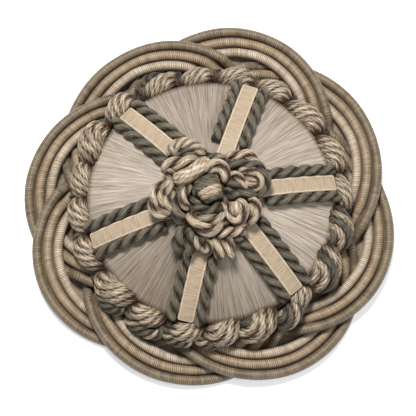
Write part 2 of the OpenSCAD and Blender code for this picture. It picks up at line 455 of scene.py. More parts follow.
@dataclass(frozen=True)
class FlossFinish(Finish):
    """Straight silk floss that runs from the middle of the dome to its edge."""

    _: KW_ONLY
    grains: tuple[Grain, ...] = (
        Grain((26.0, 26.0, 70.0), 2.0, dye=0.6),
        Grain((80.0, 80.0, 140.0), 3.0, dye=2.8, rough=0.4, relief=0.5),
        Grain((230.0, 230.0, 220.0), 2.0, dye=2.8, relief=0.5))
    bright: float = 0.57
    rough: float = 0.36
    relief: float = 0.1 * MM
    fixed: Sockets = sheen(0.12, 0.4, 0.55)
    # The hollow dye is painted shade in the floss's grooves, as the deep attribute says
    hollow: Dye = (112, 96, 80)
    # The dye of the shade painted by the way the floss faces
    facing_shade_dye: Dye = (168, 160, 150)
    # A shadow painted along the dome's edge under the knots: its dye, the distance from the axis in
    # millimetres where it starts, and how fast it deepens
    rim: Dye = (120, 98, 76)
    rim_shadow_from: float = 28.4
    rim_shadow_gain: float = 0.7
    deep_share: float = 0.65
    # How much shade is painted on floss that faces up or down the picture, and on floss that faces its low
    # left corner
    facing: tuple[float, float] = (0.6, 0.35)
    facing_late: float = 0.05
    corner: float = -0.7

    def material(self) -> Material:
        """Makes the material, on Object coordinates turned into a ray from the dome's axis.

        Returns:
            The material, with shade painted where the floss faces up or down the picture and towards its low
            left corner, in its grooves and along the rim.
        """
        book = DyeBook(self.name)
        x, y, _ = book.place(Chart.OBJECT)
        x, y = x - float(CENTRE[0]), y - float(CENTRE[1])
        away = (x * x + y * y + 1e-9).root()
        ray_x, ray_y = x / away, y / away
        share, rough, height = self.weave(book, (ray_x, ray_y, away))
        colour = self.dyed(book, share)
        # Painted shade in the grooves between strands
        colour = book.blend((book.attribute("deep") * self.deep_share).held(), colour, dye(self.hollow))
        # Painted shade where the floss faces up or down the picture, and more towards its low left corner
        low_left = (ray_x * self.corner + ray_y * self.corner).held()
        upright, cornered = self.facing
        facing_shade = ray_y * ray_y * upright + low_left * low_left * low_left * cornered - self.facing_late
        # Painted shadow along the rim, under the knots
        edge = (away * (1.0 / MM) - self.rim_shadow_from) * self.rim_shadow_gain
        for shadow, tint in ((facing_shade, self.facing_shade_dye), (edge, self.rim)):
            colour = book.blend(shadow.held(), colour, dye(tint), "MULTIPLY")
        return book.close(self, colour, rough, height)


@dataclass(frozen=True)
class StripFinish(Finish):
    """A flat gimp strip, wound across with fine thread, with a raised lip painted pale as a highlight where
    the tone attribute marks it, and shade painted where the deep attribute says.
    """

    # The lip dye is a painted highlight on the raised lip
    lip: Dye
    _: KW_ONLY
    grains: tuple[Grain, ...] = (
        Grain((3.4, 2.2, 0.0), 2.0, layer=2.0, dye=2.3, rough=0.2, relief=1.0),
        Grain((0.5, 5.0, 0.0), 2.0, layer=6.0, dye=0.9))
    bright: float = 0.58
    relief: float = 0.06 * MM
    fixed: Sockets = sheen(0.15, 0.5, 0.4)
    # The hollow dye is painted shade between the threads and on the underside, as the deep attribute says
    hollow: Dye = (96, 72, 50)
    deep_share: float = 0.8

    def material(self) -> Material:
        """Makes the material: u runs along the strip in millimetres and v goes round it.

        Returns:
            The material.
        """
        book = DyeBook(self.name)
        share, rough, height = self.weave(book, book.place(Chart.UV))
        colour = book.blend(book.attribute("tone"), self.dyed(book, share), dye(self.lip))
        colour = book.blend((book.attribute("deep") * self.deep_share).held(), colour, dye(self.hollow))
        return book.close(self, colour, rough, height)


# The third dye of each gimp cord is its painted shade
GIMP_TAUPE = GimpFinish("gimp_taupe_thread", (160, 142, 112), (90, 72, 49), (52, 38, 24))
GIMP_TAN = GimpFinish("gimp_tan_thread", (196, 175, 143), (124, 100, 71), (70, 50, 32))
GIMP_CREAM = GimpFinish("gimp_cream_thread", (226, 211, 187), (154, 132, 103), (86, 65, 44))
SILK_FLOSS = FlossFinish("silk_floss", (201, 189, 174), (142, 130, 115))
STRIP_GIMP = StripFinish("strip_gimp", (186, 168, 143), (144, 125, 100), (222, 206, 181))
# A brown thread whose colour is painted shade for the gaps between the gimp cords
GAP_SHADE_THREAD = ThreadFinish("gap_shade_thread", (140, 110, 78), (84, 63, 43), (140, 110, 78), (84, 63, 43))
OLIVE_CORD = ThreadFinish("olive_cord", (124, 117, 97), (52, 48, 38), (136, 128, 107), (58, 54, 43))
TRIM_ROPE = ThreadFinish("trim_rope", (234, 217, 190), (102, 80, 56), (106, 101, 83), (36, 34, 26),
                         shade=5.46, bright=0.44)
FLOWER_CORD = ThreadFinish("flower_cord", (226, 209, 185), (126, 102, 75), (114, 107, 88), (46, 43, 33),
                           bright=0.47)
WOOL_FELT = Finish("wool_felt", (150, 134, 112), (108, 92, 72), rough=0.86, relief=0.25 * MM,
                   grains=(Grain((260.0, 260.0, 260.0), 3.0, dye=1.1),
                           Grain((2600.0, 2600.0, 2600.0), 4.0, dye=1.6, rough=0.2, relief=1.0)),
                   fixed=sheen(0.4, 0.7, 0.2))
# Brushed along x; its first dye is the worn one
PIN_STEEL = Finish("pin_steel", (140, 140, 146), (205, 205, 208), bright=0.2, rough=0.3,
                   grains=(Grain((150.0, 5000.0, 5000.0), 2.0, rough=0.25, relief=1.0),
                           Grain((300.0, 300.0, 300.0), 3.0, dye=2.0, rough=0.2)),
                   fixed=(("Metallic", 1.0),))
# Glows a little, as a light table does
PALE_BOARD = Finish("pale_board", (252, 252, 252), (248, 248, 248), rough=0.9,
                    grains=(Grain((9.0, 9.0, 1.0), 2.0, dye=1.0, rough=0.1, relief=1.0),),
                    fixed=(("Specular IOR Level", 0.1), ("Emission Color", (1.0, 1.0, 1.0, 1.0)),
                           ("Emission Strength", 0.42)))


@dataclass(frozen=True)
class Line:
    """A line that a cord or yarn follows, and the way that its outer side faces."""

    points: Array
    out: Array
    closed: bool = False

    @classmethod
    def level(cls, points: Array, closed: bool = False) -> "Line":
        """A line whose outer side faces up all along."""
        return cls(points, np.broadcast_to(UP, points.shape), closed)

    def frame(self) -> tuple[Array, Array, Array]:
        """Finds how the line lies.

        Returns:
            The unit vectors ahead, out and aside at each point.
        """
        if self.closed:
            ahead = unit(np.roll(self.points, -1, 0) - np.roll(self.points, 1, 0))
        else:
            ahead = unit(np.gradient(self.points, axis=0))
        out = unit(self.out - ahead * np.sum(self.out * ahead, axis=1, keepdims=True))
        return ahead, out, np.cross(ahead, out)

    def run(self) -> Array:
        """The distance along the line at each point."""
        return run_of(self.points)

    def taper(self, start: float, end: float) -> Array:
        """Rounds the ends off.

        Args:
            start, end: the length over which each end is rounded; 0 leaves it full.

        Returns:
            A share from 0 to 1 at each point.
        """
        run = self.run()
        share = np.ones(len(run))
        for length, away in ((start, run), (end, run[-1] - run)):
            if length > 0:
                share = share * rounded(away, length, least=0.0004)
        return share

    def lay(self, count: int, reach: Array | float, pitch: float, phase: float) -> list["Line"]:
        """Lines that wind round this one.

        Args:
            count: how many there are.
            reach: their distance from this line.
            pitch: the length of one turn; below zero it is left-handed.
            phase: the turn that they start at, in radians.

        Returns:
            The lines.
        """
        _, out, aside = self.frame()
        angle = TAU * self.run() / pitch + phase
        spread = np.broadcast_to(reach, len(angle))[:, None]
        lines = []
        for k in range(count):
            a = (angle + TAU * k / count)[:, None]
            radial = np.cos(a) * out + np.sin(a) * aside
            lines.append(Line(self.points + spread * radial, radial))
        return lines


class Skein:
    """Gathers tubes of yarn and makes one mesh of them."""

    def __init__(self) -> None:
        """Starts with no yarn."""
        self.points: list[Array] = []
        self.faces: list[list[int]] = []
        self.uvs: list[Array] = []
        self.tone: list[Array] = []
        self.deep: list[Array] = []
        self.count = 0

    def _keep(self, points: Array, tone: Array | float, deep: Array) -> int:
        """Adds points.

        Args:
            points: their places.
            tone: their dye.
            deep: how far in they lie.

        Returns:
            The number of the first of them.
        """
        first = self.count
        self.points.append(points)
        self.tone.append(np.broadcast_to(tone, len(points)))
        self.deep.append(deep)
        self.count += len(points)
        return first

    def rings(self, rings: Array, u: Array, tone: Array | float = 0.0,
              deep: Array | None = None, closed: bool = False, lead: int = 0) -> None:
        """Adds a tube given by its rings.

        Args:
            rings: points, ring by ring.
            u: the pattern's place along the tube, one more than the rings if it is closed.
            tone: the dye, from 0 to 1, at each point or all over.
            deep: how far in each point lies, from 0 to 1.
            closed: whether the last ring joins the first.
            lead: rings that a closed tube's seam steps ahead by.
        """
        n, m, _ = rings.shape
        deep = np.zeros((n, m)) if deep is None else deep
        tone = np.broadcast_to(tone, (n, m))
        first = self._keep(rings.reshape(-1, 3), tone.ravel(), deep.ravel())
        i, j = np.arange(n if closed else n - 1)[:, None], np.arange(m)[None, :]
        seam = (j == m - 1) * lead
        corners = [(i, j), (i + seam, (j + 1) % m), (i + 1 + seam, (j + 1) % m), (i + 1, j)]
        quads = np.stack([first + (a % n) * m + b + 0 * i for a, b in corners], axis=-1)
        low, high = u[i] + 0 * j, u[i + 1] + 0 * j
        left, right = j / m + 0 * i, (j + 1) / m + 0 * i
        uv = np.stack([low, left, low, right, high, right, high, left], axis=-1)
        self.faces.extend(quads.reshape(-1, 4).tolist())
        self.uvs.append(uv.reshape(-1, 2))
        for k in () if closed else (0, n - 1):
            self._cap(rings[k], first + k * m, float(u[k]), tone[k].mean(), deep[k].mean(), flip=k == 0)

    def _cap(self, ring: Array, first: int, u: float, tone: float, deep: float, flip: bool) -> None:
        """Closes one end of a tube with a fan of faces.

        Args:
            ring: the end's points.
            first: the number of the first of them.
            u: the pattern's place at the end.
            tone, deep: the attributes of the fan's middle.
            flip: whether it is the tube's start.
        """
        m = len(ring)
        pole = self._keep(ring.mean(axis=0)[None, :], tone, np.array([deep]))
        for j in range(m):
            a, b = first + j, first + (j + 1) % m
            self.faces.append([pole, b, a] if flip else [pole, a, b])
            self.uvs.append(np.array([[u, (j + 0.5) / m], [u, j / m], [u, j / m]]))

    def yarn(self, line: Line, radius: Array | float, sides: int, tone: float = 0.0,
             core: Line | None = None, reach: Array | float = 1.0, pitch: float = 0.0,
             groove: float = 0.0) -> None:
        """Adds a yarn along a line, round or with grooves that wind along it.

        Args:
            line: what it follows.
            radius: its radius, at each point or all along.
            sides: how many sides it has.
            tone: the dye, from 0 to 1.
            core: the middle of the cord that it lies in, if it lies in one.
            reach: that cord's radius, at each point or all along.
            pitch: the length of one turn of its fibres, or 0 if they run straight.
            groove: how deep every other side lies, as a share of the radius.
        """
        _, out, aside = line.frame()
        column = np.arange(sides)
        wind = TAU * line.run() / pitch if pitch else np.zeros(len(out))
        turn = (TAU * column / sides + math.pi)[None, :] + wind[:, None]
        low = (column % 2) * (groove > 0)
        size = np.broadcast_to(radius, len(out))[:, None] * (1 - groove * low)
        over, beside = (size * np.cos(turn))[..., None], (size * np.sin(turn))[..., None]
        rings = line.points[:, None] + (over * out[:, None] + beside * aside[:, None])
        shade = tone + (FIBRE_SHADE * (column * 3 % 5) / 4 if groove > 0 else 0.0)
        deep = GROOVE_DEEP * low + 0.0 * turn
        if core is not None:
            away = np.linalg.norm(rings - core.points[:, None], axis=2)
            deep = np.clip(1.0 - away / np.broadcast_to(reach, len(out))[:, None] + deep, 0.0, 1.0)
        self.rings(rings, line.run() / MM, shade, deep)

    def piece(self, name: str, slot: Slot, material: Material, *nodes: str) -> Piece:
        """Makes the mesh, and sets it on the frame.

        Args:
            name: the piece's name.
            slot: the record's slot.
            material: its finish.
            nodes: the solids that it stands for.

        Returns:
            The piece.
        """
        mesh = bpy.data.meshes.new(name)
        mesh.from_pydata(np.concatenate(self.points).tolist(), [], self.faces)
        layer = mesh.uv_layers.new(name="thread")
        layer.data.foreach_set("uv", np.concatenate(self.uvs).astype(np.float32).ravel())
        for label, parts in (("tone", self.tone), ("deep", self.deep)):
            values = np.concatenate(parts).astype(np.float32)
            mesh.attributes.new(label, "FLOAT", "POINT").data.foreach_set("value", values)
        mesh.shade_smooth()
        return set_on_frame(linked(name, mesh), slot, material, *nodes)


def linked(name: str, data: bpy.types.ID) -> Piece:
    """Puts a new object in the scene.

    Args:
        name: its name.
        data: its mesh, light or camera.

    Returns:
        The object.
    """
    made = bpy.data.objects.new(name, data)
    bpy.context.scene.collection.objects.link(made)
    return made


def set_on_frame(made: Piece, slot: Slot, material: Material,
                 *nodes: str) -> Piece:
    """Dresses a piece and lets it ride on the rosette.

    Args:
        made: the piece.
        slot: not used.
        material: its finish.
        nodes: the solids that it stands for.

    Returns:
        The piece.
    """
    made.data.materials.clear()
    made.data.materials.append(material)
    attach(made, "root")
    if nodes:
        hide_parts(*nodes)
    made.data.calc_loop_triangles()
    LOG.info("%s: %d triangles", made.name, len(made.data.loop_triangles))
    return made


# How wide a ply is, and how far out it lies, as shares of the cord's radius, by the number of plies
PACKING = {1: (1.0, 0.0), 2: (0.63, 0.37), 3: (0.55, 0.45), 6: (0.39, 0.61)}


@dataclass(frozen=True)
class Lay:
    """How a cord is laid up from plies of soft floss. Turns are in cord diameters."""

    plies: int = 2
    turn: float = -2.8
    fibre_turn: float = 3.4
    flutes: int = 8
    groove: float = 0.12
    # At a cord's ends, the share of its radius that depth is still measured against
    least_reach: float = 0.35
    core_fit: float = 1.04

    def wind(self, skein: Skein, line: Line, diameter: float, tones: tuple[float, ...],
             phase: float = 0.0, ends: tuple[float, float] = (0.0, 0.0)) -> None:
        """Adds the cord's plies to a skein.

        Args:
            skein: what they are added to.
            line: the cord's middle.
            diameter: the cord's diameter.
            tones: the dye of each ply.
            phase: the turn that the plies start at.
            ends: the length over which each end is rounded.
        """
        share = line.taper(*ends)
        size, away = PACKING[self.plies]
        radius = diameter / 2
        reach = radius * (self.least_reach + (1.0 - self.least_reach) * share)
        # More than three plies leave a hollow, which a core fills
        if self.plies > 3:
            skein.yarn(line, radius * (self.core_fit - 2 * size) * share, self.flutes, tones[0], line, reach)
        for k, ply in enumerate(line.lay(self.plies, radius * away * share, self.turn * diameter, phase)):
            skein.yarn(ply, radius * size * share, 2 * self.flutes, tones[k % len(tones)], line, reach,
                       self.fibre_turn * diameter, self.groove)


def route_line(route: tuple[Place, ...], step: float = 0.25 * MM) -> Line:
    """A smooth line through given points.

    Args:
        route: places from the dome's axis, in millimetres.
        step: the distance between points.

    Returns:
        The line.
    """
    given = np.array(route) * MM
    held = np.concatenate([2 * given[:1] - given[1:2], given, 2 * given[-1:] - given[-2:-1]])
    share = np.linspace(0.0, 1.0, 16, endpoint=False)[:, None]
    parts = []
    for a, b, c, d in zip(held, held[1:], held[2:], held[3:]):
        parts.append(0.5 * (2 * b + (c - a) * share + (2 * a - 5 * b + 4 * c - d) * share**2
                            + (3 * b - a - 3 * c + d) * share**3))
    rough = np.concatenate(parts + [given[-1:]])
    run = run_of(rough)
    even = np.linspace(0.0, run[-1], max(8, round(run[-1] / step)))
    return Line.level(read_along(even, run, rough) + CENTRE)


@dataclass(frozen=True)
class Dome:
    """The padded ball that the floss and the ribs lie on."""

    rim: float = 29.8 * MM
    ball: float = 50.7 * MM
    top: float = 17.6 * MM

    def height(self, away: Array | float) -> Array | float:
        """The height of its face at a distance from the axis."""
        return self.top - self.ball + np.sqrt(self.ball**2 - away**2)


@dataclass(frozen=True)
class GimpRing:
    """The interlaced ring of three gimp cords, eight lobes round. Angles are in degrees."""

    radius: float = 1.18 * MM
    arc_radius: float = 24.7 * MM
    arc_off: float = 19.0 * MM
    pitch: float = 2.52 * MM
    weave: float = 1.265 * MM
    first_turn: float = 32.0
    pull: float = 0.9 * MM
    pull_turn: float = 77.0
    sway: float = 3.0
    sway_turn: float = 114.0
    lobes: int = 8
    outer_cross: float = 22.5
    inner_cross: float = 45.0
    turn_back: float = 67.5
    outer_step: float = 6.6
    inner_step: float = 2.5
    level_run: float = 2.0
    rib: float = 0.45 * MM
    rib_lead: int = 2
    # The rings of points in one rib of thread: how full each is, and how deep it lies, which sets the shade
    # painted in the rib's groove
    swell: Place = (0.915, 1.0, 0.99)
    sunk: Place = (1.0, 0.05, 0.25)
    sides: int = 10
    # The brown thread under the gaps between cords, whose colour is painted shade for the gaps
    gap_thread_r: float = 0.42 * MM
    gap_thread_drop: float = 0.72 * MM
    gap_thread_steps: int = 110
    gap_thread_pattern: float = 0.9

    def _arc(self, a: Array) -> tuple[Array, Array]:
        """The plain arc of a lobe.

        Args:
            a: the angle past its peak.

        Returns:
            Its radius there, and how fast that falls.
        """
        s, c = np.sin(np.radians(a)), np.cos(np.radians(a))
        root = np.sqrt(self.arc_radius**2 - (self.arc_off * s) ** 2)
        return self.arc_off * c + root, self.arc_off * s * (1 + self.arc_off * c / root)

    def _band(self, a: Array) -> tuple[Array, Array]:
        """The outermost cord's arc, with the turn back at its end.

        Args:
            a: the angle past the peak.

        Returns:
            Its radius there, and how fast that falls.
        """
        radius, fall = self._arc(np.minimum(a, self.inner_cross))
        edge_radius, edge_fall = self._arc(np.array(self.inner_cross))
        share = (self.turn_back - a) / (self.turn_back - self.inner_cross)
        drop = edge_fall * math.radians(self.turn_back - self.inner_cross) / 2
        past = a > self.inner_cross
        radius = np.where(past, edge_radius - drop * (1 - share**2), radius)
        return radius, np.where(past, edge_fall * share, fall)

    def _level(self, a: Array, cord: float) -> Array:
        """Where a cord passes over and where it passes under.

        Args:
            a: the angle past the peak.
            cord: 0 for the outermost.

        Returns:
            1 where it is over and -1 where it is under.
        """
        crossings = ((self.outer_cross, self.outer_step), (self.inner_cross, self.inner_step))
        (over, over_end), (under, under_end) = (
            (cross - step * cord - self.level_run, cross + step * (2 - cord) + self.level_run)
            for cross, step in crossings)
        return eased(a, 0.0, over) - 2 * eased(a, over_end, under) + eased(a, under_end, self.turn_back)

    def route(self, cord: float, steps: int = 360) -> Array:
        """The middle of one cord, round the whole ring.

        Args:
            cord: 0 for the outermost.
            steps: points on each lobe.

        Returns:
            The points of a closed line.
        """
        a = np.linspace(-self.turn_back, self.turn_back, steps, endpoint=False)
        side, away = np.sign(a), np.abs(a)
        radius, fall = self._band(away)
        fall = -side * fall
        inward = self.pitch * cord / np.hypot(radius, fall)
        along, across = radius * (1 - inward), -fall * inward
        height = RING_MID + self.weave * side * self._level(away, cord)
        reach = np.hypot(along, across)
        size = self.arc_off + self.arc_radius
        parts = []
        for lobe in range(self.lobes):
            peak = self.first_turn - 2 * self.turn_back * lobe
            turn = peak - a + np.degrees(np.arctan2(across, along))
            turn = turn + self.sway * np.cos(np.radians(turn - self.sway_turn))
            drawn = 1 + self.pull / size * np.cos(np.radians(3 * (turn - self.pull_turn)))
            t = np.radians(turn)
            parts.append(np.stack([reach * drawn * np.cos(t), reach * drawn * np.sin(t), height], axis=1))
        return np.concatenate(parts) + CENTRE

    def wound(self, cord: int) -> Skein:
        """One gimp cord, its thread wound round in a rib for every turn.

        Args:
            cord: 0 for the outermost.

        Returns:
            The cord.
        """
        route = self.route(cord)
        run = run_of(np.concatenate([route, route[:1]]))
        ahead, out, _ = Line.level(route, closed=True).frame()
        ribs = round(run[-1] / self.rib)
        cut = len(self.swell)
        n = ribs * cut
        column = np.arange(self.sides) / self.sides
        share = (np.arange(n)[:, None] + self.rib_lead * cut * column) / n % 1.0
        middle, ahead, out = (read_along(share * run[-1], run, np.concatenate([values, values[:1]]))
                              for values in (route, ahead, out))
        ahead, out = unit(ahead), unit(out)
        aside = np.cross(ahead, out)
        turn = (TAU * column + math.pi)[None, :, None]
        swell = np.tile(self.swell, ribs)[:, None, None]
        deep = np.broadcast_to(np.tile(self.sunk, ribs)[:, None], (n, self.sides))
        rings = middle + self.radius * swell * (np.cos(turn) * out + np.sin(turn) * aside)
        skein = Skein()
        skein.rings(rings, np.arange(n + 1) / cut, deep=deep, closed=True, lead=self.rib_lead * cut)
        return skein

    def seam(self) -> Skein:
        """Lays a plain brown thread of four sides under each gap between two cords, as painted shade for the
        gap.

        Returns:
            Both threads.
        """
        skein = Skein()
        turn = (math.pi / 4 + TAU * np.arange(4) / 4)[None, :, None]
        for cord in (0.5, 1.5):
            route = self.route(cord, self.gap_thread_steps) - UP * self.gap_thread_drop
            _, out, aside = Line.level(route, closed=True).frame()
            square = np.cos(turn) * out[:, None] + np.sin(turn) * aside[:, None]
            pattern = np.arange(len(route) + 1) * self.gap_thread_pattern
            skein.rings(route[:, None] + self.gap_thread_r * square, pattern, closed=True)
        return skein

    def build(self) -> None:
        """Makes the thread of painted shade under the gaps, and the three cords, from the outermost inwards.
        """
        self.seam().piece("gimp_seam_thread", Slot.TAN, GAP_SHADE_THREAD.material())
        looks = ((Slot.TAUPE, GIMP_TAUPE), (Slot.TAN, GIMP_TAN), (Slot.CREAM, GIMP_CREAM))
        for cord, (slot, finish) in enumerate(looks):
            self.wound(cord).piece(slot.value + "_cord", slot, finish.material(), slot.value)


def select_nothing() -> None:
    """Leaves object mode with nothing selected."""
    if bpy.context.object is not None and bpy.context.object.mode != "OBJECT":
        bpy.ops.object.mode_set(mode="OBJECT")
    bpy.ops.object.select_all(action="DESELECT")


def just_made(name: str) -> Piece:
    """Names the object that an operator has just made.

    Args:
        name: its name.

    Returns:
        The object.
    """
    made = bpy.context.object
    made.name = made.data.name = name
    return made


def apply_place() -> None:
    """Moves a new object's place into its mesh."""
    bpy.ops.object.transform_apply(location=True, rotation=True, scale=True)


def start_edit() -> None:
    """Goes into edit mode with the whole mesh selected."""
    bpy.ops.object.mode_set(mode="EDIT")
    bpy.ops.mesh.select_all(action="SELECT")


def end_edit() -> None:
    """Turns every face outwards and leaves edit mode."""
    bpy.ops.mesh.select_all(action="SELECT")
    bpy.ops.mesh.normals_make_consistent(inside=False)
    bpy.ops.object.mode_set(mode="OBJECT")
    apply_place()


@dataclass(frozen=True)
class SilkDome:
    """The dome of silk floss, laid from the middle to the edge over a pad."""

    dome: Dome = Dome()
    strands: int = 1500
    rings: int = 26
    groove: float = 0.055 * MM
    seed: int = 11
    # The fewest and most waves round the dome, how many such waves there are, and their weight
    waves: tuple[tuple[int, int, int, float], ...] = (
        (40, 110, 16, 0.16), (110, 260, 30, 0.42), (260, 560, 48, 0.75))
    drift: float = 60.0
    lowest: float = -1.6
    highest: float = 1.2
    fade: float = 0.7
    lift: float = 1.6
    # How deep level floss counts as lying, and how much the relief adds; the depth sets the shade painted in
    # the floss's grooves
    deep: tuple[float, float] = (0.35, -0.45)

    def _profile(self) -> list[tuple[float, float]]:
        """Draws the dome's section.

        Returns:
            Radius and height of each ring, from the rim's underside to the middle.
        """
        rim, foot = self.dome.rim, FELT_TOP + GAP
        edge = [(rim - 0.35 * MM, foot), (rim, foot + 0.4 * MM), (rim, foot + 0.95 * MM),
                (rim - 0.15 * MM, foot + 1.4 * MM)]
        inner = (rim - 0.5 * MM) * np.linspace(1.0, 0.02, self.rings)
        return edge + [(float(r), float(self.dome.height(r))) for r in inner]

    def _shape(self) -> Piece:
        """Makes the plain pad: a rim circle drawn up and in, ring by ring.

        Returns:
            The pad.
        """
        select_nothing()
        profile = self._profile()
        radius, height = profile[0]
        middle = tuple(CENTRE)
        bpy.ops.mesh.primitive_circle_add(vertices=self.strands, radius=radius, fill_type="NGON",
                                          location=(middle[0], middle[1], height))
        pad = just_made("floss_dome")
        start_edit()
        for ring, rise in profile[1:]:
            bpy.ops.mesh.extrude_region_move(TRANSFORM_OT_translate={"value": (0.0, 0.0, rise - height)})
            scale = ring / radius
            bpy.ops.transform.resize(value=(scale, scale, 1.0), center_override=middle)
            radius, height = ring, rise
        end_edit()
        return pad

    def _lay_floss(self, pad: Piece) -> None:
        """Parts the pad's face into strands of floss.

        Args:
            pad: the plain pad.
        """
        count = len(pad.data.vertices)
        points = np.zeros(count * 3)
        pad.data.vertices.foreach_get("co", points)
        points = points.reshape(-1, 3)
        arm = points - CENTRE
        away = np.hypot(arm[:, 0], arm[:, 1])
        turn = np.arctan2(arm[:, 1], arm[:, 0])
        dice = np.random.default_rng(self.seed)
        relief = np.zeros(count)
        for low, high, waves, weight in self.waves:
            for k in dice.integers(low, high, waves):
                drift = dice.normal(0.0, self.drift)
                ripple = np.cos(k * turn + dice.uniform(0, 6.28) + drift * away)
                relief += weight * ripple / math.sqrt(waves)
        relief = np.clip(relief, self.lowest, self.highest)
        fade = np.clip(away / self.dome.rim, 0.0, 1.0) ** self.fade
        lifted = arm * np.array([1.0, 1.0, self.lift])
        points += unit(lifted) * (relief * fade * self.groove)[:, None]
        pad.data.vertices.foreach_set("co", points.ravel())
        deep = np.clip(self.deep[0] + relief * self.deep[1], 0.0, 1.0).astype(np.float32)
        pad.data.attributes.new("deep", "FLOAT", "POINT").data.foreach_set("value", deep)
        pad.data.update()
        pad.data.shade_smooth()

    def build(self) -> None:
        """Makes the dome."""
        pad = self._shape()
        self._lay_floss(pad)
        set_on_frame(pad, Slot.FLOSS, SILK_FLOSS.material(), "silk_dome")


@dataclass(frozen=True)
class Backing:
    """What lies behind: the felt disc that all is sewn to, a thin felt band, and the brooch pin."""

    radius: float = 30.0 * MM
    thick: float = 1.2 * MM
    bevel: float = 0.35 * MM
    band_in: float = 30.6 * MM
    band_out: float = 40.0 * MM
    band_t: float = 0.12 * MM
    sides: int = 160

    def _disc(self) -> Piece:
        """Makes the disc, its edges rounded.

        Returns:
            The disc.
        """
        select_nothing()
        place = (float(CENTRE[0]), float(CENTRE[1]), FELT_TOP - self.thick / 2)
        bpy.ops.mesh.primitive_cylinder_add(vertices=self.sides, radius=self.radius, depth=self.thick,
                                            location=place)
        disc = just_made("felt_backing")
        apply_place()
        start_edit()
        bpy.ops.mesh.bevel(offset=self.bevel, segments=3, affect="EDGES")
        bpy.ops.object.mode_set(mode="OBJECT")
        disc.data.shade_smooth()
        return disc

    def _band(self) -> Piece:
        """Makes the band under the ring, that shows between its cords.

        Returns:
            The band.
        """
        select_nothing()
        middle = tuple(CENTRE)
        bpy.ops.mesh.primitive_circle_add(vertices=self.sides, radius=self.band_in, fill_type="NOTHING",
                                          location=middle)
        band = just_made("felt_band")
        start_edit()
        bpy.ops.mesh.extrude_edges_move(TRANSFORM_OT_translate={"value": (0.0, 0.0, 0.0)})
        scale = self.band_out / self.band_in
        bpy.ops.transform.resize(value=(scale, scale, 1.0), center_override=middle)
        bpy.ops.mesh.select_all(action="SELECT")
        bpy.ops.mesh.extrude_region_move(TRANSFORM_OT_translate={"value": (0.0, 0.0, self.band_t)})
        end_edit()
        return band

    def build(self) -> None:
        """Makes the disc and the band, and dresses the brooch pin."""
        disc = self._disc()
        felt = WOOL_FELT.material()
        set_on_frame(disc, Slot.FELT, felt, "backing_disc")
        set_on_frame(self._band(), Slot.FELT, felt)
        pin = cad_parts["brooch_pin"]
        pin.data.materials.clear()
        pin.data.materials.append(PIN_STEEL.material())
        LOG.info("brooch_pin: the frame's own mesh")


